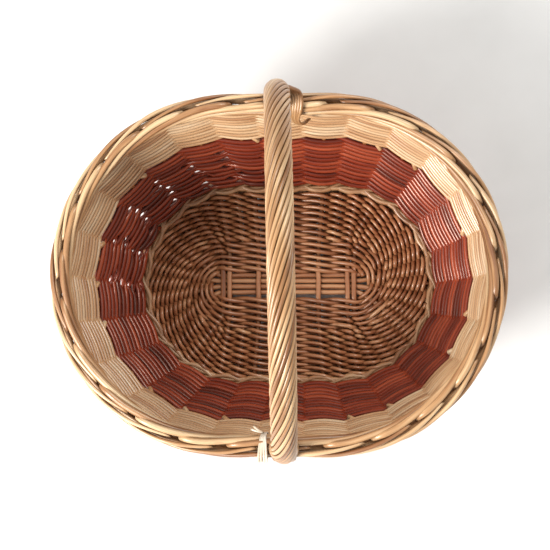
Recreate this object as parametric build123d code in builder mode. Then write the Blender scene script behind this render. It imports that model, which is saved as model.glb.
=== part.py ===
from build123d import *
from math import atan2, cos, degrees, hypot, pi, sin
import os

# Oval willow market basket with a fixed, roped bow handle across its width.
# Millimetres. The origin is at the middle of the underside, +X runs along the oval, +Z is up.

# ---- Driving dimensions ----

# Heights of the wall's layers above the floor.
foot_top = 14.0
red_top = 104.0
natural_top = 168.0
border_top = 190.0

# Every level of the wall is an oval: two half circles joined by straight sides.
# The half circles' radius, at the middle of the wall, grows with height, and its slope eases off.
wall_radius_at_floor = 96.5
wall_slope_at_floor = 0.502
wall_slope_loss = 0.00169
straight_half_at_floor = 48.8
straight_half_loss = 0.0285
wall_thickness = 11.0

# Upright rods inside the wall.
stake_count = 26
stake_radius = 2.75
stake_bottom = 3.0
stake_top = 167.0
stake_lean_aside = 5.0
fit_gap = 0.1

# Base: long sticks threaded through split cross sticks, and the weave round them.
base_middle = 8.0
base_thickness = 8.0
long_stick_radius = 2.6
long_stick_pitch = 5.8
long_stick_count = 4
cross_stick_radius = 2.5
cross_stick_places = [-67.5, -61.0, -31.0, 0.0, 31.0, 61.0, 67.5]
split_half_length = 13.0
split_half_height = 5.2
split_taper_length = 9.0
slath_half_length = 73.0
stick_end_radius = 93.5
stick_bend_radius = 30.0
cross_stick_straight = 14.0
slot_side_gap = 0.7

# Border: the rim, woven from the stakes' upper ends.
border_outer_radius = 168.6
border_inner_radius = 148.0
border_rounding = 7.0

# Handle: a bow of thick rod with a rope of thin rods twisted round it.
# It stands a little towards +X of the middle, leans that way, and its legs are offset either way.
bow_radius = 7.0
rope_radius = 11.8
handle_height = 376.0
handle_half_span = 160.0
handle_leg_height = 42.0
shoulder_radius = 100.0
handle_shift = 3.4
handle_lean = 12.0
leg_offset = 3.2
tip_offset = 7.0
tip_radius = 2.5
tip_bottom = 118.0

# What holds the handle to the border.
foot_strap_width = 22.0
foot_strap_thickness = 4.0
foot_strap_bottom = 160.0
tuck_gap = 1.0
tuck_width = 11.0
tuck_thickness = 4.0
lashing_gap = 3.5
lashing_width = 8.0
lashing_thickness = 2.0
saddle_bottom = 166.0

os.makedirs("parts", exist_ok=True)


# ---- The shape of the wall ----

def wall_radius(height):
    """Radius of the oval's half circles at the middle of the wall."""
    return wall_radius_at_floor + wall_slope_at_floor * height - wall_slope_loss * height**2 / 2


def straight_half(height):
    """Half the length of the oval's straight sides."""
    return straight_half_at_floor - straight_half_loss * height


def oval_point(turn, radius, straight):
    """The point a given part of a turn round an oval, counterclockwise from its +X end."""
    quarter = pi * radius / 2
    along = (turn % 1.0) * (4 * straight + 4 * quarter)
    for side in (1, -1):
        if along <= quarter:
            angle = along / radius
            return side * (straight + radius * cos(angle)), side * radius * sin(angle)
        along -= quarter
        if along <= 2 * straight:
            return side * (straight - along), side * radius
        along -= 2 * straight
        if along <= quarter:
            angle = pi / 2 + along / radius
            return side * (-straight + radius * cos(angle)), side * radius * sin(angle)
        along -= quarter
    return straight + radius, 0.0


def oval_section(height, radius):
    """A flat oval face at one level."""
    with BuildSketch(Plane.XY.offset(height)) as section:
        SlotCenterToCenter(2 * straight_half(height), 2 * radius)
    return section.sketch


def wall_sections(heights, offset):
    """Ovals that follow the wall, inside or outside its middle by the offset."""
    return [oval_section(height, wall_radius(height) + offset) for height in heights]


def levels(bottom, top, count):
    """Evenly spaced heights from bottom to top."""
    return [bottom + (top - bottom) * step / count for step in range(count + 1)]


def rod_along(path, radius):
    """A round rod that follows a line."""
    with BuildPart() as rod:
        with BuildSketch(Plane(origin=path @ 0, z_dir=path % 0)):
            Circle(radius)
        sweep(path=path)
    return rod.part


# ---- Side stakes: upright rods that the wall is woven on ----

def stake_point(number, height):
    """The middle of a stake. The two beside the handle lean away from its pointed ends."""
    turn = (number + 0.5) / stake_count
    x, y = oval_point(turn, wall_radius(height), straight_half(height))
    beside_handle = abs(x) < 1.0
    if beside_handle:
        x = (handle_shift + (1 if y > 0 else -1) * stake_lean_aside) * height / stake_top
    return x, y, height


def stake_path(number, bottom, top):
    middle = (bottom + top) / 2
    with BuildLine() as path:
        ThreePointArc(*[stake_point(number, height) for height in (bottom, middle, top)])
    return path.line


for number in range(stake_count):
    with BuildPart() as side_stake:
        add(rod_along(stake_path(number, stake_bottom, stake_top), stake_radius))
    side_stake.part.label = f"side_stake_{number + 1:02d}"
    export_step(side_stake.part, f"parts/{side_stake.part.label}.step")

stake_channels = [
    rod_along(stake_path(number, stake_bottom - fit_gap, natural_top + fit_gap), stake_radius + fit_gap)
    for number in range(stake_count)
]


# ---- Handle bow: an arch that leans a little, with pointed ends driven into the wall ----

# The arch lies in its own plane, with x from leg to leg and y up. The origin is level with the rim.
leg_to_leg = Vector(-leg_offset, handle_half_span, 0).normalized()
apex_height = handle_height - rope_radius - border_top
lean_up = Vector(handle_lean, 0, apex_height).normalized()
arch_plane = Plane(origin=(handle_shift, 0, border_top), x_dir=leg_to_leg, z_dir=leg_to_leg.cross(lean_up))
arch_rise = hypot(handle_lean, apex_height)

shoulder_x = handle_half_span - shoulder_radius
crown_drop = arch_rise - handle_leg_height
crown_radius = (shoulder_x**2 + crown_drop**2 - shoulder_radius**2) / (2 * (crown_drop - shoulder_radius))
crown_y = arch_rise - crown_radius
shoulder_angle = degrees(atan2(handle_leg_height - crown_y, shoulder_x))

with BuildLine(arch_plane) as arch:
    Line((handle_half_span, 0), (handle_half_span, handle_leg_height))
    CenterArc((shoulder_x, handle_leg_height), shoulder_radius, 0, shoulder_angle)
    CenterArc((0, crown_y), crown_radius, shoulder_angle, 180 - 2 * shoulder_angle)
    CenterArc((-shoulder_x, handle_leg_height), shoulder_radius, 180 - shoulder_angle, shoulder_angle)
    Line((-handle_half_span, handle_leg_height), (-handle_half_span, 0))

arch_start = Plane(origin=arch.line @ 0, z_dir=arch.line % 0)
arch_finish = Plane(origin=arch.line @ 1, z_dir=arch.line % 1)


def bow_tip(side, gap):
    """The pointed end of the bow, from the arch's end down into the wall beside a stake."""
    arch_end = arch_start if side > 0 else arch_finish
    bottom = Vector(handle_shift - side * tip_offset, side * wall_radius(tip_bottom), tip_bottom)
    direction = (bottom - arch_end.origin).normalized()
    with BuildPart() as tip:
        with BuildSketch(arch_end) as wide:
            Circle(bow_radius + gap)
        with BuildSketch(Plane(origin=bottom + direction * gap, z_dir=direction)) as narrow:
            Circle(tip_radius + gap)
        loft([wide.sketch, narrow.sketch])
        if gap > 0:
            extrude(wide.sketch, amount=side * bow_radius)
    return tip.part


with BuildPart() as handle_bow:
    with BuildSketch(arch_start):
        Circle(bow_radius)
    sweep(path=arch.line)
    for side in (1, -1):
        add(bow_tip(side, 0))
handle_bow.part.label = "handle_bow"
export_step(handle_bow.part, "parts/handle_bow.step")

bow_channels = [bow_tip(side, fit_gap) for side in (1, -1)]


# ---- Handle rope: a sleeve round the bow, where the thin rods are twisted ----

with BuildPart() as handle_rope:
    with BuildSketch(arch_start):
        Circle(rope_radius)
        Circle(bow_radius + fit_gap, mode=Mode.SUBTRACT)
    sweep(path=arch.line)
    split(bisect_by=Plane.XY.offset(border_top + fit_gap), keep=Keep.TOP)
handle_rope.part.label = "handle_rope"
export_step(handle_rope.part, "parts/handle_rope.step")


# ---- Wall: foot wale, red weave and natural weave, with a channel for each stake ----

foot_levels = levels(0, foot_top, 1)
red_levels = levels(foot_top, red_top, 3)
natural_levels = levels(red_top, natural_top, 2)
half_wall = wall_thickness / 2

with BuildPart() as foot_wale:
    loft(wall_sections(foot_levels, half_wall), ruled=True)
    loft(wall_sections(foot_levels, -half_wall), ruled=True, mode=Mode.SUBTRACT)
    add(stake_channels, mode=Mode.SUBTRACT)
foot_wale.part.label = "foot_wale"
export_step(foot_wale.part, "parts/foot_wale.step")

with BuildPart() as red_weave_band:
    loft(wall_sections(red_levels, half_wall), ruled=True)
    loft(wall_sections(red_levels, -half_wall), ruled=True, mode=Mode.SUBTRACT)
    add(stake_channels, mode=Mode.SUBTRACT)
red_weave_band.part.label = "red_weave_band"
export_step(red_weave_band.part, "parts/red_weave_band.step")

with BuildPart() as natural_weave_band:
    loft(wall_sections(natural_levels, half_wall), ruled=True)
    loft(wall_sections(natural_levels, -half_wall), ruled=True, mode=Mode.SUBTRACT)
    add(stake_channels + bow_channels, mode=Mode.SUBTRACT)
natural_weave_band.part.label = "natural_weave_band"
export_step(natural_weave_band.part, "parts/natural_weave_band.step")


# ---- Border: a rounded rim on top of the wall ----

with BuildPart() as border:
    with BuildSketch(Plane.XY.offset(natural_top)):
        SlotCenterToCenter(2 * straight_half(natural_top), 2 * border_outer_radius)
        SlotCenterToCenter(2 * straight_half(natural_top), 2 * border_inner_radius, mode=Mode.SUBTRACT)
    extrude(amount=border_top - natural_top)
    fillet(border.edges().group_by(Axis.Z)[-1], border_rounding)
    add(bow_channels, mode=Mode.SUBTRACT)
border.part.label = "border"
export_step(border.part, "parts/border.step")


# ---- What holds the handle: rods down the outside, a tucked bundle and a lashing ----

for side, foot_name in ((1, "handle_foot_far"), (-1, "handle_foot_near")):
    foot_x = handle_shift - side * leg_offset
    with BuildPart() as handle_foot:
        with BuildSketch(Plane.XY.offset(foot_strap_bottom)):
            with Locations((foot_x, side * (border_outer_radius + foot_strap_thickness / 2))):
                RectangleRounded(foot_strap_width, foot_strap_thickness, foot_strap_thickness / 2 - fit_gap)
        extrude(amount=border_top - foot_strap_bottom)
    handle_foot.part.label = foot_name
    export_step(handle_foot.part, f"parts/{foot_name}.step")


def saddle(side, middle_x, width, thickness):
    """A strap over the rim, open below, that ends on each side just under the border."""
    border_width = border_outer_radius - border_inner_radius
    border_height = border_top - natural_top
    middle_y = side * (border_outer_radius + border_inner_radius) / 2
    with BuildPart() as strap:
        with BuildSketch(Plane.YZ.offset(middle_x - width / 2)):
            with Locations((middle_y, border_top - border_height)):
                RectangleRounded(
                    border_width + 2 * thickness,
                    2 * border_height + 2 * thickness,
                    border_rounding + thickness,
                )
                RectangleRounded(
                    border_width + 2 * fit_gap,
                    2 * border_height + 2 * fit_gap,
                    border_rounding - fit_gap,
                    mode=Mode.SUBTRACT,
                )
            with Locations((middle_y, saddle_bottom - border_height)):
                Rectangle(2 * border_width, 2 * border_height, mode=Mode.SUBTRACT)
        extrude(amount=width)
    return strap.part


with BuildPart() as handle_tuck:
    tuck_x = handle_shift - leg_offset + rope_radius + tuck_gap + tuck_width / 2
    add(saddle(1, tuck_x, tuck_width, tuck_thickness))
handle_tuck.part.label = "handle_tuck"
export_step(handle_tuck.part, "parts/handle_tuck.step")

with BuildPart() as handle_lashing:
    lashing_x = handle_shift + leg_offset - rope_radius - lashing_gap - lashing_width / 2
    add(saddle(-1, lashing_x, lashing_width, lashing_thickness))
handle_lashing.part.label = "handle_lashing"
export_step(handle_lashing.part, "parts/handle_lashing.step")


# ---- Base sticks ----

def base_stick_end(place, end_count):
    """Where a stick meets the edge of the base: all sticks' ends are evenly spaced round it."""
    return oval_point(place / end_count, stick_end_radius, straight_half(base_middle))


stick_end_count = 2 * (long_stick_count + len(cross_stick_places))


def long_stick_path(number):
    """A stick along the base, straight in the middle, with ends that fan out."""
    y = (number - (long_stick_count - 1) / 2) * long_stick_pitch
    end_x, end_y = base_stick_end(number - (long_stick_count - 1) / 2, stick_end_count)
    with BuildLine(Plane.XY.offset(base_middle)) as path:
        FilletPolyline(
            (-end_x, end_y), (-slath_half_length, y), (slath_half_length, y), (end_x, end_y),
            radius=stick_bend_radius,
        )
    return path.line


def cross_stick_path(number):
    """A stick across the base, from one split part's end to the edge of the base on the +Y side."""
    x = cross_stick_places[number]
    ends_before = (long_stick_count - 1) / 2 + len(cross_stick_places) - number
    end_x, end_y = base_stick_end(ends_before, stick_end_count)
    start_y = split_half_length + split_taper_length
    with BuildLine(Plane.XY.offset(base_middle)) as path:
        if abs(x) < 1.0:
            Line((x, start_y), (x, end_y))
        else:
            FilletPolyline(
                (x, start_y), (x, start_y + cross_stick_straight), (end_x, end_y),
                radius=stick_bend_radius,
            )
    return path.line


def cross_stick(number, gap):
    """A cross stick, swollen in the middle, where it is split to let the long sticks through."""
    x = cross_stick_places[number]
    with BuildPart() as stick:
        sections = []
        for y, half_height in ((split_half_length, split_half_height),
                               (split_half_length + split_taper_length, cross_stick_radius)):
            with BuildSketch(Plane(origin=(x, y, base_middle), x_dir=(1, 0, 0), z_dir=(0, 1, 0))) as section:
                if half_height > cross_stick_radius:
                    Ellipse(cross_stick_radius + gap, half_height + gap)
                else:
                    Circle(cross_stick_radius + gap)
            sections.append(section.sketch)
        extrude(sections[0], amount=-split_half_length)
        loft(sections)
        add(rod_along(cross_stick_path(number), cross_stick_radius + gap))
        mirror(about=Plane.XZ)
    return stick.part


for number in range(long_stick_count):
    with BuildPart() as base_long_stick:
        add(rod_along(long_stick_path(number), long_stick_radius))
    base_long_stick.part.label = f"base_long_stick_{number + 1}"
    export_step(base_long_stick.part, f"parts/{base_long_stick.part.label}.step")

slot_height = 2 * (long_stick_radius + fit_gap)
slot_width = long_stick_pitch * long_stick_count + 2 * slot_side_gap

for number in range(len(cross_stick_places)):
    with BuildPart() as base_cross_stick:
        add(cross_stick(number, 0))
        with Locations((cross_stick_places[number], 0, base_middle)):
            Box(6 * cross_stick_radius, slot_width, slot_height, mode=Mode.SUBTRACT)
    base_cross_stick.part.label = f"base_cross_stick_{number + 1}"
    export_step(base_cross_stick.part, f"parts/{base_cross_stick.part.label}.step")


# ---- Base weave: an oval mat round the sticks, open where they cross ----

base_bottom = base_middle - base_thickness / 2
base_top = base_middle + base_thickness / 2
base_edge = wall_sections([base_bottom, base_top], -half_wall - fit_gap)

with BuildPart() as base_weave:
    loft(base_edge, ruled=True)
    with BuildSketch(Plane.XY.offset(base_bottom)):
        RectangleRounded(2 * slath_half_length, 2 * split_half_length, split_half_length / 2)
    extrude(amount=base_thickness, mode=Mode.SUBTRACT)
    add(
        [rod_along(long_stick_path(number), long_stick_radius + fit_gap) for number in range(long_stick_count)]
        + [cross_stick(number, fit_gap) for number in range(len(cross_stick_places))],
        mode=Mode.SUBTRACT,
    )
base_weave.part.label = "base_weave"
export_step(base_weave.part, "parts/base_weave.step")
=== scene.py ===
from math import atan2, hypot, pi

import bpy
import numpy as np
from mathutils import Matrix, Vector


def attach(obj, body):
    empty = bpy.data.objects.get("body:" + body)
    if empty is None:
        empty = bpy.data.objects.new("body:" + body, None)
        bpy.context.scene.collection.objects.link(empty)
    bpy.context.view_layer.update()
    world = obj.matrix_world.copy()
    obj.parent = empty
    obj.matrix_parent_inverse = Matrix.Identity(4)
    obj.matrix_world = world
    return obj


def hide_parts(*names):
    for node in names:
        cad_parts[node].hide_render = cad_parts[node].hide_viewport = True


# Oval willow market basket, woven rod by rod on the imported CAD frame.
# Lengths are in millimetres up to the point where a mesh, light or camera is made.

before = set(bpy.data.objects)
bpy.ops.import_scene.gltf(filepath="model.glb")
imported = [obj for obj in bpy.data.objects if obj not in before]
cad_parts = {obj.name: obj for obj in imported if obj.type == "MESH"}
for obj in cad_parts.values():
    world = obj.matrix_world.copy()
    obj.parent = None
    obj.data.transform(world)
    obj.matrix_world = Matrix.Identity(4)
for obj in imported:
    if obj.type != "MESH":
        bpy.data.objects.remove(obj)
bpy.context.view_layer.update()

MM = 0.001
chance = np.random.default_rng(26)

# ---- Dimensions that the CAD model has too ----

FOOT_TOP = 14.0
RED_TOP = 104.0
NATURAL_TOP = 168.0
BORDER_TOP = 190.0
STAKE_COUNT = 26
STAKE_RADIUS = 2.75
BORDER_OUTER_RADIUS = 168.6
BORDER_INNER_RADIUS = 148.0

BASE_MIDDLE = 8.0
LONG_STICK_RADIUS = 2.6
LONG_STICK_PITCH = 5.8
LONG_STICK_COUNT = 4
CROSS_STICK_RADIUS = 2.5
CROSS_STICK_PLACES = [-67.5, -61.0, -31.0, 0.0, 31.0, 61.0, 67.5]
SPLIT_HALF_LENGTH = 13.0
SPLIT_TAPER_LENGTH = 9.0
SLATH_HALF_LENGTH = 73.0
STICK_END_RADIUS = 93.5
CROSS_STICK_STRAIGHT = 14.0

HANDLE_HEIGHT = 376.0
ROPE_RADIUS = 11.8
HANDLE_HALF_SPAN = 160.0
HANDLE_LEG_HEIGHT = 42.0
SHOULDER_RADIUS = 100.0
HANDLE_SHIFT = 3.4
HANDLE_LEAN = 12.0
LEG_OFFSET = 3.2
LASHING_MIDDLE_X = -12.7
FOOT_STRAP_BOTTOM = 160.0

# The wall's oval at floor level, and how it changes on the way up.
WALL_RADIUS_AT_FLOOR = 96.5
WALL_SLOPE_AT_FLOOR = 0.502
WALL_CURVATURE = 0.00169
WALL_STRAIGHT_AT_FLOOR = 48.8
WALL_STRAIGHT_LOSS = 0.0285


def wall_radius(height):
    """Radius of the wall oval's half circles, at the middle of the wall's thickness."""
    return WALL_RADIUS_AT_FLOOR + WALL_SLOPE_AT_FLOOR * height - WALL_CURVATURE * height**2 / 2


def straight_half(height):
    """Half the length of the wall oval's straight sides."""
    return WALL_STRAIGHT_AT_FLOOR - WALL_STRAIGHT_LOSS * height


# ---- Ovals ----

def oval(turn, radius, straight):
    """Points and outward directions at parts of a turn round an oval, counterclockwise from its +X end."""
    turn, radius, straight = np.broadcast_arrays(
        np.asarray(turn, float), np.asarray(radius, float), np.asarray(straight, float)
    )
    quarter = pi * radius / 2
    half = 2 * quarter + 2 * straight
    along = np.mod(turn, 1.0) * 2 * half
    side = np.where(along < half, 1.0, -1.0)
    along = np.where(along < half, along, along - half)
    slide = np.clip(along - quarter, 0, 2 * straight)
    angle = (along - slide) / radius
    outward = np.stack([side * np.cos(angle), side * np.sin(angle), np.zeros_like(angle)], axis=-1)
    middle = np.stack([side * (straight - slide), np.zeros_like(angle), np.zeros_like(angle)], axis=-1)
    return middle + outward * radius[..., None], outward


def turn_at(x, y, radius, straight):
    """The part of a turn at which an oval passes a point."""
    quarter = pi * radius / 2
    half = 2 * quarter + 2 * straight
    round_right = np.arctan2(y, np.maximum(x - straight, 1e-9)) * radius
    round_left = half - np.arctan2(y, np.maximum(-x - straight, 1e-9)) * radius
    on_side = np.sign(y) * (quarter + straight - x)
    along = np.where(x > straight, round_right, np.where(x < -straight, round_left, on_side))
    return np.mod(along / (2 * half), 1.0)


def wall_point(turn, height, offset):
    """Points a given offset outside the middle of the wall, with outward directions."""
    points, outward = oval(turn, wall_radius(height), straight_half(height))
    points = points + outward * np.asarray(offset, float)[..., None]
    points[..., 2] = height
    return points, outward


# ---- Lines ----

def unit(vectors):
    return vectors / np.linalg.norm(vectors, axis=-1, keepdims=True)


def wander(along, size, wavelength):
    """A small smooth random wander."""
    total = np.zeros_like(along)
    for part in (1.0, 0.61, 0.37):
        total += part * np.sin(2 * pi * along / (wavelength * part) + chance.uniform(0, 2 * pi))
    return size * total / 1.98


def lengths_along(line):
    """Distance from the start of a line to each of its points."""
    steps = np.linalg.norm(np.diff(line, axis=0), axis=1)
    return np.concatenate([[0.0], np.cumsum(steps)])


def evenly(line, step):
    """The same line with points about a step apart."""
    along = lengths_along(line)
    count = max(2, int(round(along[-1] / step)) + 1)
    places = np.linspace(0, along[-1], count)
    return np.stack([np.interp(places, along, line[:, axis]) for axis in range(line.shape[1])], axis=1)


def curve_through(points, per_span):
    """A smooth curve through a few points, in any number of coordinates."""
    points = np.asarray(points, float)
    knots = lengths_along(points)
    slopes = np.gradient(points, knots, axis=0)
    pieces = []
    for first in range(len(points) - 1):
        span = knots[first + 1] - knots[first]
        t = np.linspace(0, 1, per_span, endpoint=False)[:, None]
        start, end = points[first], points[first + 1]
        leave, arrive = slopes[first] * span, slopes[first + 1] * span
        pieces.append(
            start * (2 * t**3 - 3 * t**2 + 1) + leave * (t**3 - 2 * t**2 + t)
            + end * (3 * t**2 - 2 * t**3) + arrive * (t**3 - t**2)
        )
    pieces.append(points[-1:])
    return np.concatenate(pieces)


def rounded_corners(points, passes=4):
    """A line whose corners are cut again and again until they are round."""
    line = np.asarray(points, float)
    for _ in range(passes):
        near = line[:-1] * 0.75 + line[1:] * 0.25
        far = line[:-1] * 0.25 + line[1:] * 0.75
        cut = np.stack([near, far], axis=1).reshape(-1, line.shape[1])
        line = np.concatenate([line[:1], cut[1:-1], line[-1:]])
    return line


# ---- Rods ----

class Rods:
    """Many willow rods, joined in one mesh. Each has its own tone and its own grain."""

    def __init__(self, name):
        self.name = name
        self.points = []
        self.faces = []
        self.grain = []
        self.tone = []
        self.cut = []
        self.count = 0

    def add(self, line, radii, up, sides=10, flat=1.0, slant=(0.5, 0.5)):
        """One rod along a line. flat is its thickness over its width, with up across its thickness."""
        line = np.asarray(line, float)
        rings = len(line)
        radii = np.broadcast_to(np.asarray(radii, float), (rings,))
        along = lengths_along(line)
        tangents = unit(np.gradient(line, along, axis=0))
        up = np.broadcast_to(np.asarray(up, float), line.shape)
        across = unit(np.cross(up, tangents))
        upward = np.cross(tangents, across)
        angles = np.arange(sides) * 2 * pi / sides
        cosines = np.cos(angles)[None, :, None]
        sines = np.sin(angles)[None, :, None]
        section = across[:, None] * cosines + upward[:, None] * sines * flat
        body = line[:, None] + section * radii[:, None, None]
        for ring, slope in ((0, -slant[0]), (-1, slant[1])):
            body[ring] += tangents[ring] * (sines[0] * radii[ring] * slope)
        self.points.append(body.reshape(-1, 3))
        drift = chance.uniform(-500, 500, 3)
        grain = np.stack([
            np.broadcast_to(along[:, None], (rings, sides)) + drift[0],
            radii[:, None] * np.cos(angles) + drift[1],
            radii[:, None] * np.sin(angles) + drift[2],
        ], axis=-1)
        self.grain.append(grain.reshape(-1, 3))
        self.tone.append(np.full(rings * sides, chance.uniform()))
        first = self.count
        for ring in range(rings - 1):
            low = first + ring * sides
            high = low + sides
            for side in range(sides):
                after = (side + 1) % sides
                self.faces.append((low + side, low + after, high + after, high + side))
        self.cut.extend([0.0] * ((rings - 1) * sides))
        self.faces.append(tuple(range(first + sides - 1, first - 1, -1)))
        self.faces.append(tuple(range(first + (rings - 1) * sides, first + rings * sides)))
        self.cut.extend([1.0, 1.0])
        self.count += rings * sides

    def build(self, material, slot, *replaced):
        """The finished piece, on the frame, in place of some CAD nodes."""
        mesh = bpy.data.meshes.new(self.name)
        points = np.concatenate(self.points) * MM
        mesh.from_pydata(points.tolist(), [], self.faces)
        grain = mesh.attributes.new("grain", "FLOAT_VECTOR", "POINT")
        grain.data.foreach_set("vector", np.concatenate(self.grain).astype(np.float32).ravel())
        tone = mesh.attributes.new("tone", "FLOAT", "POINT")
        tone.data.foreach_set("value", np.concatenate(self.tone).astype(np.float32))
        cut = mesh.attributes.new("cut", "FLOAT", "FACE")
        cut.data.foreach_set("value", np.asarray(self.cut, np.float32))
        mesh.polygons.foreach_set("use_smooth", np.asarray(self.cut) < 0.5)
        mesh.update()
        piece = bpy.data.objects.new(self.name, mesh)
        bpy.context.scene.collection.objects.link(piece)
        piece.data.materials.append(material)
        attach(piece, "root")
        if replaced:
            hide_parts(*replaced)


# ---- Materials ----

class Graph:
    """Shorthand for building one material's nodes."""

    def __init__(self, name):
        self.material = bpy.data.materials.new(name)
        self.material.use_nodes = True
        self.nodes = self.material.node_tree.nodes
        self.links = self.material.node_tree.links
        self.surface = self.nodes["Principled BSDF"]

    def node(self, kind, **settings):
        made = self.nodes.new("ShaderNode" + kind)
        for key, value in settings.items():
            setattr(made, key, value)
        return made

    def feed(self, socket, value):
        """Links an output to a socket, or sets the socket to a plain value."""
        if isinstance(value, bpy.types.NodeSocket):
            self.links.new(value, socket)
        else:
            socket.default_value = value

    def attribute(self, name, output="Fac"):
        return self.node("Attribute", attribute_name=name).outputs[output]

    def stretched(self, vector, scale):
        mapping = self.node("Mapping", vector_type="POINT")
        self.feed(mapping.inputs["Vector"], vector)
        mapping.inputs["Scale"].default_value = scale
        return mapping.outputs["Vector"]

    def noise(self, vector, scale, detail=3.0, roughness=0.55):
        made = self.node("TexNoise")
        self.feed(made.inputs["Vector"], self.stretched(vector, scale))
        made.inputs["Scale"].default_value = 1.0
        made.inputs["Detail"].default_value = detail
        made.inputs["Roughness"].default_value = roughness
        return made.outputs["Fac"]

    def math(self, operation, *values, clamp=False):
        made = self.node("Math", operation=operation, use_clamp=clamp)
        for socket, value in zip(made.inputs, values):
            self.feed(socket, value)
        return made.outputs["Value"]

    def spread(self, value, low, high, to_low=0.0, to_high=1.0):
        """A value moved from one range to another, and kept inside it."""
        made = self.node("MapRange", clamp=True)
        for name, given in zip(("Value", "From Min", "From Max", "To Min", "To Max"),
                               (value, low, high, to_low, to_high)):
            self.feed(made.inputs[name], given)
        return made.outputs["Result"]

    def ramp(self, value, stops):
        made = self.node("ValToRGB")
        elements = made.color_ramp.elements
        while len(elements) < len(stops):
            elements.new(0.5)
        for element, (place, colour) in zip(elements, stops):
            element.position = place
            element.color = colour
        self.feed(made.inputs["Fac"], value)
        return made.outputs["Color"]

    def mix(self, share, first, second):
        made = self.node("Mix", data_type="RGBA")
        self.feed(made.inputs["Factor"], share)
        self.feed(made.inputs["A"], first)
        self.feed(made.inputs["B"], second)
        return [o for o in made.outputs if o.type == "RGBA"][0]

    def bump(self, height, distance, strength):
        made = self.node("Bump")
        made.inputs["Distance"].default_value = distance
        made.inputs["Strength"].default_value = strength
        self.feed(made.inputs["Height"], height)
        return made.outputs["Normal"]


def screen_colour(red, green, blue):
    """A colour given as it looks on a screen, 0 to 255, as the linear values that nodes take."""
    linear = []
    for part in (red / 255, green / 255, blue / 255):
        linear.append(part / 12.92 if part <= 0.04045 else ((part + 0.055) / 1.055) ** 2.4)
    return (*linear, 1.0)


# How far round a point other rods count when painting shade into the crevices between rods.
PAINTED_SHADE_REACH = 8.0
BUMP_DEPTH = 0.0003
BUMP_STRENGTH = 0.5
COAT_ROUGHNESS = 0.36


def willow(name, dark, middle, light, pith, tone_share=0.5, streak_share=0.5, gloss=0.38,
           painted_shade=0.85, sheen_colour=(1.0, 0.94, 0.86), coat=0.35, grain=None):
    """Peeled willow: three colours from dark to light, streaked along the rod, with paler cut ends and
    painted shade in the crevices between rods.
    """
    g = Graph(name)
    grain = grain(g) if grain else g.attribute("grain", "Vector")
    streaks = g.noise(grain, (0.035, 0.9, 0.9), detail=4.0, roughness=0.6)
    fibres = g.noise(grain, (0.12, 3.2, 3.2), detail=2.0)
    patches = g.noise(grain, (0.014, 0.16, 0.16), detail=2.0)
    tone = g.attribute("tone")
    share = g.math("MULTIPLY_ADD", g.math("SUBTRACT", tone, 0.5), tone_share, 0.5)
    share = g.math("MULTIPLY_ADD", g.math("SUBTRACT", streaks, 0.5), streak_share, share)
    share = g.math("MULTIPLY_ADD", g.math("SUBTRACT", patches, 0.5), 1.3, share, clamp=True)
    colour = g.ramp(share, [(0.12, dark), (0.5, middle), (0.88, light)])
    scars = g.node("TexVoronoi", feature="F1")
    g.feed(scars.inputs["Vector"], g.stretched(grain, (0.022, 0.24, 0.24)))
    scars.inputs["Scale"].default_value = 1.0
    scar = g.spread(scars.outputs["Distance"], 0.07, 0.16, 0.55, 0.0)
    colour = g.mix(scar, colour, dark)
    cut = g.attribute("cut")
    colour = g.mix(cut, colour, pith)
    # Painted shade: where other rods lie close, in the crevices between rods, the colour is darkened towards
    # a deep brown and the reflection is dimmed, standing in for the shade that falls there.
    occlusion = g.node("AmbientOcclusion", samples=4)
    occlusion.inputs["Distance"].default_value = PAINTED_SHADE_REACH * MM
    painted_crevice_shade = g.spread(occlusion.outputs["AO"], 0.3, 0.85, painted_shade, 0.0)
    colour = g.mix(painted_crevice_shade, colour, tuple(0.4 * part for part in dark[:3]) + (1.0,))
    g.feed(g.surface.inputs["Specular IOR Level"], g.spread(occlusion.outputs["AO"], 0.3, 0.85, 0.05, 0.9))
    g.feed(g.surface.inputs["Base Color"], colour)
    g.feed(g.surface.inputs["Roughness"], g.spread(streaks, 0.25, 0.75, gloss - 0.07, gloss + 0.12))
    g.surface.inputs["Specular Tint"].default_value = (*sheen_colour, 1.0)
    g.surface.inputs["Coat Weight"].default_value = coat
    g.surface.inputs["Coat Roughness"].default_value = COAT_ROUGHNESS
    g.surface.inputs["Coat Tint"].default_value = (*sheen_colour, 1.0)
    ridges = g.math("ADD", g.math("MULTIPLY", streaks, 0.7), g.math("MULTIPLY", fibres, 0.3))
    g.feed(g.surface.inputs["Normal"], g.bump(ridges, BUMP_DEPTH, BUMP_STRENGTH))
    return g.material


def stretched_object_grain(g):
    """Grain along Z in millimetres, for CAD nodes, which have no grain of their own."""
    place = g.node("TexCoord").outputs["Object"]
    turned = g.node("SeparateXYZ")
    g.feed(turned.inputs["Vector"], place)
    made = g.node("CombineXYZ")
    for target, source in (("X", "Z"), ("Y", "X"), ("Z", "Y")):
        g.feed(made.inputs[target], g.math("MULTIPLY", turned.outputs[source], 1 / MM))
    return made.outputs["Vector"]


PITH = screen_colour(236, 214, 184)

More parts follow.
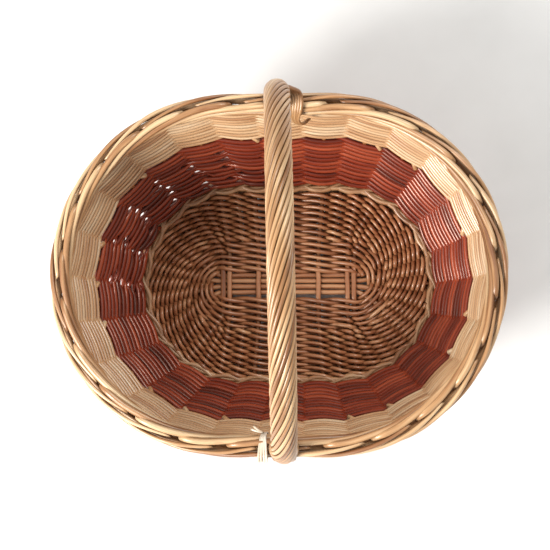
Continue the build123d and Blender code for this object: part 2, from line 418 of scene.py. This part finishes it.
natural_willow = willow(
    "natural_willow", screen_colour(178, 126, 84), screen_colour(222, 180, 134),
    screen_colour(240, 214, 178), PITH, tone_share=0.35, streak_share=0.4, gloss=0.3, painted_shade=0.75,
    sheen_colour=(1.0, 0.98, 0.95), coat=1.0,
)
border_willow = willow(
    "border_willow", screen_colour(140, 90, 54), screen_colour(194, 149, 104),
    screen_colour(226, 194, 152), PITH, tone_share=0.7, gloss=0.34,
)
handle_willow = willow(
    "handle_willow", screen_colour(134, 86, 48), screen_colour(188, 143, 98),
    screen_colour(220, 186, 142), PITH, tone_share=0.4, gloss=0.34, painted_shade=0.95,
)
red_willow = willow(
    "red_willow", screen_colour(78, 24, 13), screen_colour(135, 50, 28),
    screen_colour(180, 88, 56), screen_colour(214, 172, 138), tone_share=0.4, streak_share=0.35,
    gloss=0.27, painted_shade=0.75, sheen_colour=(1.0, 0.72, 0.6), coat=0.5,
)
base_willow = willow(
    "base_willow", screen_colour(140, 84, 52), screen_colour(188, 128, 88),
    screen_colour(218, 168, 124), screen_colour(228, 196, 158), tone_share=0.4, streak_share=0.4, gloss=0.32,
    painted_shade=0.6,
)
wale_willow = willow(
    "wale_willow", screen_colour(134, 84, 52), screen_colour(188, 138, 96),
    screen_colour(218, 180, 138), PITH, tone_share=0.4, streak_share=0.4,
)
pale_skein = willow(
    "pale_skein", screen_colour(190, 168, 142), screen_colour(220, 206, 186),
    screen_colour(236, 228, 214), PITH, tone_share=0.4, gloss=0.45,
)
stake_willow = willow(
    "stake_willow", screen_colour(140, 88, 50), screen_colour(186, 136, 88),
    screen_colour(214, 174, 126), PITH, grain=stretched_object_grain,
)


# ---- Wall: every stake has a weaver, and each goes outside one stake and inside the next ----

SAMPLES_PER_STAKE = 7
LOOSE_END = 0.42
WEAVER_REACH = 2.9
BUTT_REACH = 5.0
BUTT_LENGTH = 0.17
RED_LEVELS = 25
RED_BUTT_RADIUS = 3.0
RED_TIP_RADIUS = 2.7
NATURAL_LEVELS = 21
NATURAL_BUTT_RADIUS = 2.35
NATURAL_TIP_RADIUS = 2.1

# Small gaps in the red band, in the columns from its far side round to its left end.
WALL_LENGTH_ROUND = 1000.0
GAP_COLUMNS = range(7, 14)
GAPS_A_COLUMN = 6
LOWEST_GAP = FOOT_TOP + 5
HIGHEST_GAP = 76.0
GAP_SCATTER = 2.5
GAP_LENGTH = 5.0
GAP_HEIGHT = 5.0
GAP_PUSH = 4.2
GAP_THINNING = 0.54


def loose_places():
    """Places between stakes where the rods lie a little apart and light comes through."""
    places = []
    for column in GAP_COLUMNS:
        heights = np.linspace(LOWEST_GAP, HIGHEST_GAP, GAPS_A_COLUMN)
        heights = heights + chance.uniform(-GAP_SCATTER, GAP_SCATTER, GAPS_A_COLUMN)
        for height in heights:
            places.append(((column + chance.uniform(-0.2, 0.2)) / STAKE_COUNT, height))
    return places


def pushed_apart(turn, height, radii, places):
    """Heights and radii of a weaver that makes way for the gaps near it."""
    for gap_turn, gap_height in places:
        away = (np.mod(turn - gap_turn + 0.5, 1.0) - 0.5) * WALL_LENGTH_ROUND
        rise = height - gap_height
        nearness = np.exp(-(away / GAP_LENGTH) ** 2 - (rise / GAP_HEIGHT) ** 2)
        height = height + GAP_PUSH * np.sign(rise) * nearness
        radii = radii * (1 - GAP_THINNING * nearness)
    return height, radii


def weave_band(rods, bottom, top, level_count, butt_radius, tip_radius, gaps=(), loose_butts=0.0):
    """One band of weavers that all climb counterclockwise, one level from stake to stake.

    gaps are the places to make way for, and loose_butts is the share of thick ends that stand out inside.
    """
    steps = np.arange(-LOOSE_END, level_count - 1 + LOOSE_END, 1 / SAMPLES_PER_STAKE)
    share = (steps + 0.5) / level_count
    crowding = (butt_radius - tip_radius) / (butt_radius + tip_radius)
    climb = share + crowding * share * (1 - share)
    for weaver in range(STAKE_COUNT):
        thickness = chance.uniform(0.94, 1.06)
        radii = (butt_radius + (tip_radius - butt_radius) * share) * thickness
        radii = radii * (1 + wander(steps, 0.035, 2.3))
        height = bottom + (top - bottom) * climb
        height = height + chance.normal(0, 0.15) + wander(steps, 0.22, 3.1)
        bend = np.cos(pi * steps)
        offset = WEAVER_REACH * np.sign(bend) * np.abs(bend) ** 0.9 + wander(steps, 0.18, 2.7)
        if chance.uniform() < loose_butts:
            offset = offset - BUTT_REACH * np.exp(-((steps + LOOSE_END) / BUTT_LENGTH) ** 2)
        turn = (weaver + 0.5 + steps) / STAKE_COUNT
        height, radii = pushed_apart(turn, height, radii, gaps)
        line, _ = wall_point(turn, height, offset)
        rods.add(line, radii, (0, 0, 1))


red_rods = Rods("willow_red_band")
weave_band(red_rods, FOOT_TOP, RED_TOP, RED_LEVELS, RED_BUTT_RADIUS, RED_TIP_RADIUS, gaps=loose_places())
red_rods.build(red_willow, "red_willow", "red_weave_band")

natural_rods = Rods("willow_natural_band")
weave_band(
    natural_rods, RED_TOP, NATURAL_TOP, NATURAL_LEVELS, NATURAL_BUTT_RADIUS, NATURAL_TIP_RADIUS,
    loose_butts=0.5,
)
natural_rods.build(natural_willow, "natural_willow", "natural_weave_band")


# ---- Foot: two rounds of a three-rod wale, outside two stakes and inside one, round a core rod ----

WALE_RADIUS = 3.3
WALE_REACH = STAKE_RADIUS + 2.4
WALE_ROUND_HEIGHT = FOOT_TOP / 2
WALE_RODS = 3
WALE_CORE_RADIUS = 2.9
WALE_CORE_OFFSET = -2.2
WALE_CORE_HEIGHT = FOOT_TOP - 3.4
SAMPLES_PER_WALE_STAKE = 8


def foot_wale():
    """Rods that each go outside two stakes and inside the third, and one rod that runs round within."""
    rods = Rods("willow_foot_wale")
    for rod in range(WALE_RODS):
        steps = np.arange(0, 2 * STAKE_COUNT + 0.6, 1 / SAMPLES_PER_WALE_STAKE)
        phase = 2 * pi * (steps + rod) / WALE_RODS
        offset = WALE_REACH * (0.333 - 1.05 * np.cos(phase) - 0.283 * np.cos(2 * phase))
        step_up = 0.5 + 0.5 * np.tanh((steps - STAKE_COUNT) / 0.9)
        wave = WALE_ROUND_HEIGHT / 2 - WALE_RADIUS
        height = WALE_ROUND_HEIGHT * (0.5 + step_up) - wave * np.sin(phase)
        radii = WALE_RADIUS * (1 + wander(steps, 0.03, 3.3))
        height = np.maximum(height, radii + 0.02)
        turn = (0.5 + steps) / STAKE_COUNT
        line, _ = wall_point(turn, height, offset)
        rods.add(line, radii, (0, 0, 1))
    steps = np.arange(0, STAKE_COUNT + 0.4, 1 / SAMPLES_PER_WALE_STAKE)
    height = WALE_CORE_HEIGHT + wander(steps, 0.3, 5.1)
    offset = WALE_CORE_OFFSET + 0.7 * np.cos(2 * pi * steps)
    line, _ = wall_point((0.5 + steps) / STAKE_COUNT, height, offset)
    rods.add(line, WALE_CORE_RADIUS, (0, 0, 1))
    rods.build(wale_willow, "natural_willow", "foot_wale")


foot_wale()


# ---- Base: long sticks through split cross sticks, and a pair of rods twined round them ----

FAN_START = 3.0
STRAIGHT_MARGIN = 9.0
SPLIT_FLATNESS = 0.52
SPLIT_CLOSED_HEIGHT = 0.9
SPLIT_OPEN_HEIGHT = 3.0
RING_COUNT = 13
GROUPED_RINGS = 3
STRAND_RADIUS = 2.0
STRAND_SWING = 1.9
SAMPLES_PER_STICK = 6
SHORT_STICK_START = 0.36
SHORT_STICK_END = 0.985
SHORT_STICK_TIP_RADIUS = 1.5
SHORT_STICK_BUTT_RADIUS = 2.1

# Which cross sticks the weave takes together in its first rings.
CROSS_STICK_PAIRS = [0, 0, 1, 2, 3, 4, 4]

# The weave's ovals, from innermost to outermost.
RING_INNER_RADIUS = 12.8
RING_RADIUS_GAIN = 83.4
RING_INNER_STRAIGHT = 66.5
RING_STRAIGHT_LOSS = 18.0
SHORTEST_STRAND = 750
LONGEST_STRAND = 1250
FEWEST_STRAND_SAMPLES = 60


def stick_end(place):
    """Where the end of a stick meets the base's edge: all ends are evenly spaced round it."""
    end_count = 2 * (LONG_STICK_COUNT + len(CROSS_STICK_PLACES))
    points, _ = oval(place / end_count, STICK_END_RADIUS, straight_half(BASE_MIDDLE))
    return points[0], points[1]


def long_stick_line(number):
    place = number - (LONG_STICK_COUNT - 1) / 2
    y = place * LONG_STICK_PITCH
    end_x, end_y = stick_end(place)
    corners = [
        (-end_x, end_y),
        (-SLATH_HALF_LENGTH - FAN_START, y),
        (-SLATH_HALF_LENGTH + STRAIGHT_MARGIN, y),
        (SLATH_HALF_LENGTH - STRAIGHT_MARGIN, y),
        (SLATH_HALF_LENGTH + FAN_START, y),
        (end_x, end_y),
    ]
    return evenly(rounded_corners(corners), 4.0)


def cross_stick_line(number):
    """From the split part's end to the base's edge, on the +Y side."""
    x = CROSS_STICK_PLACES[number]
    end_x, end_y = stick_end((LONG_STICK_COUNT - 1) / 2 + len(CROSS_STICK_PLACES) - number)
    start_y = SPLIT_HALF_LENGTH + SPLIT_TAPER_LENGTH
    corners = [(x, start_y), (x, start_y + CROSS_STICK_STRAIGHT), (end_x, end_y)]
    return evenly(rounded_corners(corners), 4.0)


def at_base_level(line):
    return np.column_stack([line, np.full(len(line), BASE_MIDDLE)])


def base_sticks():
    rods = Rods("willow_base_sticks")
    for number in range(LONG_STICK_COUNT):
        line = at_base_level(long_stick_line(number))
        along = lengths_along(line)
        line[:, 1] += wander(along, 0.25, 90)
        radii = LONG_STICK_RADIUS * (1 + wander(along, 0.04, 70))
        rods.add(line, radii, (0, 0, 1), sides=12)
    for number, x in enumerate(CROSS_STICK_PLACES):
        for side in (1, -1):
            line = at_base_level(cross_stick_line(number))
            line[:, 1] *= side
            radii = CROSS_STICK_RADIUS * (1 + wander(lengths_along(line), 0.04, 60))
            rods.add(line, radii, (0, 0, 1), sides=12)
            reach = SPLIT_HALF_LENGTH + SPLIT_TAPER_LENGTH + 2.0
            y = np.linspace(-reach, reach, 25)
            open_share = np.clip((reach - np.abs(y)) / (SPLIT_TAPER_LENGTH + 2.0), 0, 1)
            open_share = open_share**2 * (3 - 2 * open_share)
            height = BASE_MIDDLE + side * (SPLIT_CLOSED_HEIGHT + SPLIT_OPEN_HEIGHT * open_share)
            half = np.column_stack([x + wander(y, 0.3, 40), y, height])
            rods.add(half, CROSS_STICK_RADIUS, (0, 0, 1), sides=12, flat=SPLIT_FLATNESS)
    for share, turn in between_sticks(stick_crossings()):
        line, _ = oval(turn, ring_radius(share), ring_straight(share))
        line[:, 2] = BASE_MIDDLE
        radii = np.linspace(SHORT_STICK_TIP_RADIUS, SHORT_STICK_BUTT_RADIUS, len(line))
        rods.add(line, radii, (0, 0, 1), sides=12)
    nodes = [f"base_long_stick_{number + 1}" for number in range(LONG_STICK_COUNT)]
    nodes += [f"base_cross_stick_{number + 1}" for number in range(len(CROSS_STICK_PLACES))]
    rods.build(base_willow, "base_willow", *nodes)


def ring_radius(share):
    return RING_INNER_RADIUS + RING_RADIUS_GAIN * share


def ring_straight(share):
    return RING_INNER_STRAIGHT - RING_STRAIGHT_LOSS * share


def ring_share(x, y):
    """Which oval of the base weave passes a point, from 0 innermost to 1 outermost."""
    low = np.full_like(x, -0.2)
    high = np.full_like(x, 1.2)
    for _ in range(30):
        middle = (low + high) / 2
        away = np.hypot(np.maximum(np.abs(x) - ring_straight(middle), 0), y) - ring_radius(middle)
        low = np.where(away > 0, middle, low)
        high = np.where(away > 0, high, middle)
    return (low + high) / 2


def stick_crossings():
    """For each end of each stick, the ovals it meets and where on them it does so."""
    outer_ends = []
    for number in range(LONG_STICK_COUNT):
        line = evenly(long_stick_line(number), 1.0)
        outer_ends.append(("long", number // 2, line[line[:, 0] > 0]))
        outer_ends.append(("long", number // 2 + 2, line[line[:, 0] < 0]))
    for number in range(len(CROSS_STICK_PLACES)):
        line = evenly(cross_stick_line(number), 1.0)
        straight_part = np.column_stack([np.full(12, line[0, 0]), np.linspace(8, line[0, 1] - 1, 12)])
        line = np.concatenate([straight_part, line])
        outer_ends.append(("far", CROSS_STICK_PAIRS[number], line))
        outer_ends.append(("near", CROSS_STICK_PAIRS[number], line * (1, -1)))
    crossings = []
    for side, pair, line in outer_ends:
        share = ring_share(line[:, 0], line[:, 1])
        order = np.argsort(share)
        share = share[order]
        turn = turn_at(line[order, 0], line[order, 1], ring_radius(share), ring_straight(share))
        turn = np.unwrap(turn * 2 * pi) / (2 * pi)
        crossings.append(((side, pair), share, turn))
    return crossings


def between_sticks(crossings):
    """Shorter sticks between the others at the two ends of the base, as the ovals they meet and where."""
    ordered = sorted(crossings, key=lambda found: np.mod(np.interp(0.95, found[1], found[2]), 1.0))
    share = np.linspace(SHORT_STICK_START, SHORT_STICK_END, 40)
    lines = []
    for before, after in zip(ordered, ordered[1:] + ordered[:1]):
        first, last = (np.interp(share, found[1], found[2]) for found in (before, after))
        turn = first + (np.mod(last - first + 0.5, 1.0) - 0.5) / 2
        outer_end, _ = oval(turn[-1], ring_radius(share[-1]), ring_straight(share[-1]))
        if abs(outer_end[0]) > ring_straight(1.0):
            lines.append((share, turn))
    return lines


base_sticks()


def base_weave():
    crossings = stick_crossings()
    crossings += [("short", share, turn) for share, turn in between_sticks(crossings)]
    meetings = []
    for ring in range(RING_COUNT):
        groups = {}
        for number, (pair, share, turn) in enumerate(crossings):
            if (ring + 0.5) / RING_COUNT < share[0]:
                continue
            here = np.mod(np.interp((ring + 0.5) / RING_COUNT, share, turn), 1.0)
            here = np.mod(np.interp((ring + here) / RING_COUNT, share, turn), 1.0)
            groups.setdefault(pair if ring < GROUPED_RINGS else number, []).append(here)
        meetings += sorted(ring + np.mean(places) for places in groups.values())
    meetings = np.array(meetings)
    index = np.arange(0, len(meetings) - 1, 1 / SAMPLES_PER_STICK)
    place = np.interp(index, np.arange(len(meetings)), meetings)
    share = place / RING_COUNT
    rods = Rods("willow_base_weave")
    for strand in range(2):
        phase = pi * (index + strand)
        centre, outward = oval(place, ring_radius(share), ring_straight(share))
        along_all = lengths_along(centre)
        breaks = [0]
        while breaks[-1] < len(index) - 1:
            wanted = along_all[breaks[-1]] + chance.uniform(SHORTEST_STRAND, LONGEST_STRAND)
            found = int(np.searchsorted(along_all, wanted))
            while found < len(index) - 1 and np.cos(phase[found]) > -0.9:
                found += 1
            if found > len(index) - FEWEST_STRAND_SAMPLES:
                found = len(index) - 1
            breaks.append(found)
        for first, last in zip(breaks[:-1], breaks[1:]):
            part = slice(first, last + 1)
            along = along_all[part] - along_all[first]
            radii = np.linspace(1.12, 0.9, len(along)) * STRAND_RADIUS
            radii = radii * (1 + wander(along, 0.04, 60))
            lift = LONG_STICK_RADIUS + radii
            height = BASE_MIDDLE + lift * np.cos(phase[part]) + wander(along, 0.15, 50)
            offset = STRAND_SWING * np.sin(phase[part]) + wander(along, 0.3, 110)
            line = centre[part] + outward[part] * offset[:, None]
            line[:, 2] = height
            rods.add(line, radii, (0, 0, 1), sides=9)
    rods.build(base_willow, "base_willow", "base_weave")


base_weave()


# ---- Border: each stake's top bends down, runs inside, then outside, and ends on top, round a core rod ----

# How far round in stake spacings, how far outside the wall's middle, and how high.
BORDER_ROUTE = [
    (0.0, 0.4, 165.0), (0.0, 0.4, 180.0), (0.03, 0.4, 185.2), (0.14, 0.2, 187.9), (0.5, -0.8, 188.3),
    (1.0, -2.8, 187.6), (1.5, -4.4, 185.5), (2.0, -5.5, 182.5), (2.5, -5.6, 178.5),
    (3.0, -4.8, 174.5), (3.5, 0.5, 170.8), (3.9, 6.8, 171.2), (4.3, 8.9, 173.4),
    (4.8, 10.0, 177.5), (5.3, 9.8, 182.2), (5.8, 8.2, 186.3), (6.4, 4.2, 186.9), (6.87, 1.0, 186.2),
]
BORDER_BUTT_RADIUS = 3.1
BORDER_TAIL_RADIUS = 1.9
BORDER_CORE_OFFSET = 5.0
BORDER_CORE_HEIGHT = 178.5
BORDER_CORE_RADIUS = 2.7
BORDER_STAKE_SPACING = 38.0
BORDER_LAST_STEP = 6.87


def rim_point(turn, height, offset):
    """Points a given offset outside the middle of the wall's top edge, with outward directions."""
    line, outward = oval(turn, np.full_like(turn, wall_radius(NATURAL_TOP)), straight_half(NATURAL_TOP))
    line = line + outward * offset[:, None]
    line[:, 2] = height
    return line, outward


def border():
    """One rod for each stake, on the same route, and one rod that runs round within."""
    rods = Rods("willow_border")
    route = np.array(BORDER_ROUTE) * (BORDER_STAKE_SPACING, 1, 1)
    curve = evenly(curve_through(route, 8), 4.0)
    along = lengths_along(curve)
    share = along / along[-1]
    steps = curve[:, 0] / BORDER_STAKE_SPACING
    ease = np.clip(along / 40, 0, 1)
    taper = BORDER_BUTT_RADIUS + (BORDER_TAIL_RADIUS - BORDER_BUTT_RADIUS) * share**1.2
    for stake in range(STAKE_COUNT):
        offset = curve[:, 1] + ease * wander(along, 0.45, 95)
        height = curve[:, 2] + ease * wander(along, 0.4, 85)
        keep = steps <= BORDER_LAST_STEP + chance.uniform(-0.25, 0.12)
        line, outward = rim_point((stake + 0.5 + steps) / STAKE_COUNT, height, offset)
        radii = taper * chance.uniform(0.88, 1.07) * (1 + wander(along, 0.04, 60))
        rods.add(line[keep], radii[keep], outward[keep], sides=12, slant=(0, 0.9))
    steps = np.arange(0, STAKE_COUNT + 0.4, 1 / 8)
    offset = BORDER_CORE_OFFSET + wander(steps, 0.4, 3.7)
    height = BORDER_CORE_HEIGHT + wander(steps, 0.5, 4.9)
    line, outward = rim_point((STAKE_COUNT - 0.5 + steps) / STAKE_COUNT, height, offset)
    rods.add(line, BORDER_CORE_RADIUS, outward, sides=12)
    rods.build(border_willow, "border_willow", "border")


border()


# ---- Handle: thin rods twisted round the bow ----

ROPE_ROD_COUNT = 15
ROPE_ROD_RADIUS = 2.0
ROPE_PITCH = 185.0
ROPE_END_PITCH = 62.0
ROPE_END_LENGTH = 75.0
NEAR_FLARE = 0.22
FAR_FLARE = 0.08


def handle_arch():
    """The middle line of the bow from the -Y leg to the +Y leg, with the directions outward and aside."""
    leg_to_leg = unit(np.array([-LEG_OFFSET, HANDLE_HALF_SPAN, 0.0]))
    apex = np.array([HANDLE_LEAN, 0.0, HANDLE_HEIGHT - ROPE_RADIUS - BORDER_TOP])
    lean_up = unit(apex - leg_to_leg * (apex @ leg_to_leg))
    rise = hypot(apex[0], apex[2])
    shoulder_x = HANDLE_HALF_SPAN - SHOULDER_RADIUS
    drop = rise - HANDLE_LEG_HEIGHT
    crown_radius = (shoulder_x**2 + drop**2 - SHOULDER_RADIUS**2) / (2 * (drop - SHOULDER_RADIUS))
    crown_y = rise - crown_radius
    shoulder_angle = atan2(HANDLE_LEG_HEIGHT - crown_y, shoulder_x)
    legs = np.linspace(-4.0, HANDLE_LEG_HEIGHT, 24, endpoint=False)
    bend = np.linspace(0, shoulder_angle, 30, endpoint=False)
    crown = np.linspace(shoulder_angle, pi / 2, 90)
    across = np.concatenate([
        np.full(24, HANDLE_HALF_SPAN),
        shoulder_x + SHOULDER_RADIUS * np.cos(bend),
        crown_radius * np.cos(crown),
    ])
    upward = np.concatenate([
        legs,
        HANDLE_LEG_HEIGHT + SHOULDER_RADIUS * np.sin(bend),
        crown_y + crown_radius * np.sin(crown),
    ])
    across = np.concatenate([-across, across[-2::-1]])
    upward = np.concatenate([upward, upward[-2::-1]])
    flat = evenly(np.column_stack([across, upward]), 3.0)
    tangents = unit(np.gradient(flat, axis=0))
    line = np.array([HANDLE_SHIFT, 0.0, BORDER_TOP]) + flat[:, :1] * leg_to_leg + flat[:, 1:] * lean_up
    outward = -tangents[:, 1:] * leg_to_leg + tangents[:, :1] * lean_up
    forward = tangents[:, :1] * leg_to_leg + tangents[:, 1:] * lean_up
    return line, outward, np.cross(forward, outward)


def handle_rope():
    line, outward, aside = handle_arch()
    along = lengths_along(line)
    from_end = np.minimum(along, along[-1] - along)
    tightness = np.clip(1 - from_end / ROPE_END_LENGTH, 0, 1) ** 1.5
    pitch = ROPE_PITCH + (ROPE_END_PITCH - ROPE_PITCH) * tightness
    flare = tightness * np.where(along < along[-1] / 2, NEAR_FLARE, FAR_FLARE)
    step = np.gradient(along)
    twist = np.cumsum(2 * pi * step / pitch)
    rods = Rods("willow_handle_rope")
    for rod in range(ROPE_ROD_COUNT):
        radii = ROPE_ROD_RADIUS * chance.uniform(0.95, 1.05) * (1 + wander(along, 0.03, 80))
        radii = radii * (1 + 0.6 * flare - 0.05 * tightness)
        angle = twist + 2 * pi * rod / ROPE_ROD_COUNT + wander(along, 0.035, 150)
        reach = (ROPE_RADIUS - ROPE_ROD_RADIUS) * (1 + flare) + wander(along, 0.18, 120)
        direction = outward * np.cos(angle)[:, None] + aside * np.sin(angle)[:, None]
        rods.add(line + direction * reach[:, None], radii, direction, sides=12)
    rods.build(handle_willow, "handle_willow", "handle_rope")


handle_rope()


def over_the_border(side, places, bottom_outside, bottom_inside, lift):
    """A line over the rim, from low outside to low inside, with an x for each of its seven points."""
    outer = BORDER_OUTER_RADIUS + lift
    inner = BORDER_INNER_RADIUS - lift
    middle = (outer + inner) / 2
    route = [
        (places[0], outer - 1.0, bottom_outside),
        (places[1], outer + 3.8, BORDER_TOP - 10),
        (places[2], outer + 0.5, BORDER_TOP + 1 + lift * 0.4),
        (places[3], middle, BORDER_TOP + lift),
        (places[4], inner + 3.5, BORDER_TOP - 2 + lift * 0.4),
        (places[5], inner - 0.2, BORDER_TOP - 11),
        (places[6], inner + 1.5, bottom_inside),
    ]
    curve = evenly(curve_through(route, 8), 2.0)
    middle_point = np.array([0, middle, BORDER_TOP - 14])
    up = (curve - middle_point) * (0, 1, 1)
    return curve * (1, side, 1), unit(up) * (1, side, 1)


# The tuck's middle line, from the rope's side over the rim to its end in the wall.
# The last of each four numbers is the tuck's width there, as a share of its full width.
TUCK_ROUTE = [
    (4.5, 167.0, 222.0, 0.5), (11.5, 168.2, 210.0, 0.8), (17.0, 165.8, 201.5, 1.0),
    (18.6, 158.5, 196.0, 1.0), (17.6, 150.0, 191.0, 0.9), (16.8, 145.0, 184.0, 0.6),
    (18.6, 142.0, 176.0, 0.4), (23.5, 142.0, 168.5, 0.2), (29.0, 147.5, 162.5, 0.1),
]
TUCK_MIDDLE = (4.0, 156.0, 182.0)
TUCK_ROD_COUNT = 5
TUCK_ROD_PITCH = 2.5
TUCK_BUTT_RADIUS = 2.4
TUCK_TIP_RADIUS = 1.1


def handle_tuck():
    """Rods that leave the rope above its foot, go over the rim beside it, and into the wall inside."""
    rods = Rods("willow_handle_tuck")
    for number in range(TUCK_ROD_COUNT):
        spread = (number - (TUCK_ROD_COUNT - 1) / 2) * TUCK_ROD_PITCH
        route = [(x + spread * width, y, z) for x, y, z, width in TUCK_ROUTE]
        route[0] = (route[0][0], route[0][1] + number * 0.4, route[0][2])
        line = evenly(curve_through(route, 8), 2.0)
        radii = np.linspace(TUCK_BUTT_RADIUS, TUCK_TIP_RADIUS, len(line)) * chance.uniform(0.95, 1.05)
        rods.add(line, radii, unit(line - TUCK_MIDDLE))
    rods.build(handle_willow, "handle_willow", "handle_tuck")


handle_tuck()


FOOT_ROD_COUNT = 5
FOOT_ROD_PITCH = 3.9
FOOT_BUTT_RADIUS = 2.1
FOOT_THINNING = 0.4


def handle_foot(name, side, node):
    """Ends of the handle's rods, down the outside of the border and into the weave."""
    rods = Rods(name)
    for number in range(FOOT_ROD_COUNT):
        spread = number - (FOOT_ROD_COUNT - 1) / 2
        top_x = HANDLE_SHIFT - side * LEG_OFFSET + spread * FOOT_ROD_PITCH
        points = [
            (top_x * 0.9, HANDLE_HALF_SPAN + 8.4, BORDER_TOP + 12),
            (top_x, BORDER_OUTER_RADIUS + 2.0, BORDER_TOP - 2),
            (top_x + spread * 0.4, BORDER_OUTER_RADIUS + 2.3, BORDER_TOP - 12),
            (top_x + spread * 0.6, BORDER_OUTER_RADIUS + 0.5, BORDER_TOP - 22),
            (top_x + spread * 0.6, BORDER_OUTER_RADIUS - 5.0, FOOT_STRAP_BOTTOM),
        ]
        line = evenly(curve_through(points, 8), 2.5) * (1, side, 1)
        share = np.linspace(0, 1, len(line))
        rods.add(line, FOOT_BUTT_RADIUS - FOOT_THINNING * share, (0, side, 0.2))
    rods.build(handle_willow, "handle_willow", node)


handle_foot("willow_handle_foot_far", 1, "handle_foot_far")
handle_foot("willow_handle_foot_near", -1, "handle_foot_near")


SKEIN_COUNT = 4
SKEIN_PITCH = 2.1
SKEIN_HALF_WIDTH = 1.2
SKEIN_FLATNESS = 0.42
SKEIN_BOTTOM_OUTSIDE = 167.0
SKEIN_BOTTOM_INSIDE = 167.5
TAIL_REACHES = [(-11.0, 3.0), (-9.0, 6.0)]
TAIL_HALF_WIDTH = 0.95


def handle_lashing():
    """Flat pale skeins wrapped over the rim, with two short tails inside."""
    rods = Rods("skein_lashing")
    for number in range(SKEIN_COUNT):
        shift = (number - (SKEIN_COUNT - 1) / 2) * SKEIN_PITCH
        cross = chance.uniform(-0.8, 0.8)
        asides = [
            shift - 1.0, shift - 0.8, shift + cross, shift * 0.9,
            shift * 0.8 - cross, shift * 0.55 + 1.0, shift * 0.4 + 2.0,
        ]
        places = [LASHING_MIDDLE_X + aside for aside in asides]
        line, up = over_the_border(-1, places, SKEIN_BOTTOM_OUTSIDE, SKEIN_BOTTOM_INSIDE, 0.9 + 0.12 * number)
        rods.add(line, SKEIN_HALF_WIDTH, up, flat=SKEIN_FLATNESS)
    for tail_x, tail_y in TAIL_REACHES:
        start = np.array([LASHING_MIDDLE_X, -(BORDER_INNER_RADIUS - 1.5), BORDER_TOP - 7])
        points = [start, start + (tail_x * 0.5, tail_y * 0.4, 1.5), start + (tail_x, tail_y, 0.5)]
        line = evenly(curve_through(points, 8), 1.5)
        rods.add(line, TAIL_HALF_WIDTH, (0, 0, 1), flat=0.5, sides=8)
    rods.build(pale_skein, "pale_skein", "handle_lashing")


handle_lashing()


# ---- CAD nodes that stay: the stakes and the bow, inside the weave and the rope ----

for name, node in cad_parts.items():
    if node.hide_render:
        continue
    if not node.material_slots:
        node.data.materials.append(stake_willow)
    for slot in node.material_slots:
        slot.material = stake_willow


# ---- Floor, light and camera, in metres ----

FLOOR_HALF = 3.0
FLOOR_DROP = 0.0005
LIGHT_TARGET = (0.0, 0.0, 0.1)
WINDOW_COLOUR = (1.0, 0.985, 0.96)
STRIP_COLOUR = (1.0, 0.99, 0.97)
STRIP_SIZE = (0.1, 0.9)
STRIP_POWER = 16
ROOM_LIGHT = 0.46
CAMERA_PLACE = (0.1007, -0.0864, 1.65)
CAMERA_TARGET = (-0.0014, -0.0015, 0.19)
SENSOR_WIDTH = 36.0
IMAGE_WIDTH = 550
FOCAL_LENGTH_IN_PIXELS = 1591


def plain_floor():
    mesh = bpy.data.meshes.new("floor")
    corners = [(x * FLOOR_HALF, y * FLOOR_HALF, 0) for x, y in ((-1, -1), (1, -1), (1, 1), (-1, 1))]
    mesh.from_pydata(corners, [], [(0, 1, 2, 3)])
    floor = bpy.data.objects.new("floor", mesh)
    bpy.context.scene.collection.objects.link(floor)
    floor.location.z = -FLOOR_DROP
    g = Graph("pale_floor")
    place = g.node("TexCoord").outputs["Object"]
    clouds = g.noise(place, (3.0, 3.0, 3.0), detail=5.0)
    colour = g.ramp(clouds, [(0.3, screen_colour(226, 226, 224)), (0.65, screen_colour(242, 242, 241))])
    g.feed(g.surface.inputs["Base Color"], colour)
    g.feed(g.surface.inputs["Roughness"], 0.7)
    mesh.materials.append(g.material)


def area_light(name, place, size, power, colour):
    light = bpy.data.lights.new(name, "AREA")
    light.shape = "RECTANGLE"
    light.size, light.size_y = size
    light.energy = power
    light.color = colour
    lamp = bpy.data.objects.new(name, light)
    bpy.context.scene.collection.objects.link(lamp)
    lamp.location = place
    lamp.rotation_euler = (Vector(LIGHT_TARGET) - Vector(place)).to_track_quat("-Z", "Y").to_euler()


def studio():
    plain_floor()
    area_light("window_left", (-2.1, -1.5, 1.95), (1.0, 1.4), 152, WINDOW_COLOUR)
    area_light("window_near", (-1.3, -2.4, 1.9), (0.4, 1.5), 5, WINDOW_COLOUR)
    area_light("strip_one", (1.12, 1.3, 2.1), STRIP_SIZE, STRIP_POWER, STRIP_COLOUR)
    area_light("strip_two", (0.82, 1.52, 2.1), STRIP_SIZE, STRIP_POWER, STRIP_COLOUR)
    world = bpy.data.worlds.new("studio")
    bpy.context.scene.world = world
    world.use_nodes = True
    background = world.node_tree.nodes["Background"]
    background.inputs["Color"].default_value = (1.0, 0.99, 0.98, 1.0)
    background.inputs["Strength"].default_value = ROOM_LIGHT
    bpy.context.scene.view_settings.view_transform = "Standard"


def camera():
    lens = bpy.data.cameras.new("camera")
    lens.sensor_width = SENSOR_WIDTH
    lens.lens = SENSOR_WIDTH * FOCAL_LENGTH_IN_PIXELS / IMAGE_WIDTH
    seen_from = Vector(CAMERA_PLACE)
    looking_at = Vector(CAMERA_TARGET)
    body = bpy.data.objects.new("camera", lens)
    bpy.context.scene.collection.objects.link(body)
    body.location = seen_from
    back = (seen_from - looking_at).normalized()
    right = Vector((0.0, 1.0, 0.0)).cross(back).normalized()
    body.rotation_euler = Matrix((right, back.cross(right), back)).transposed().to_euler()
    bpy.context.scene.camera = body


studio()
camera()
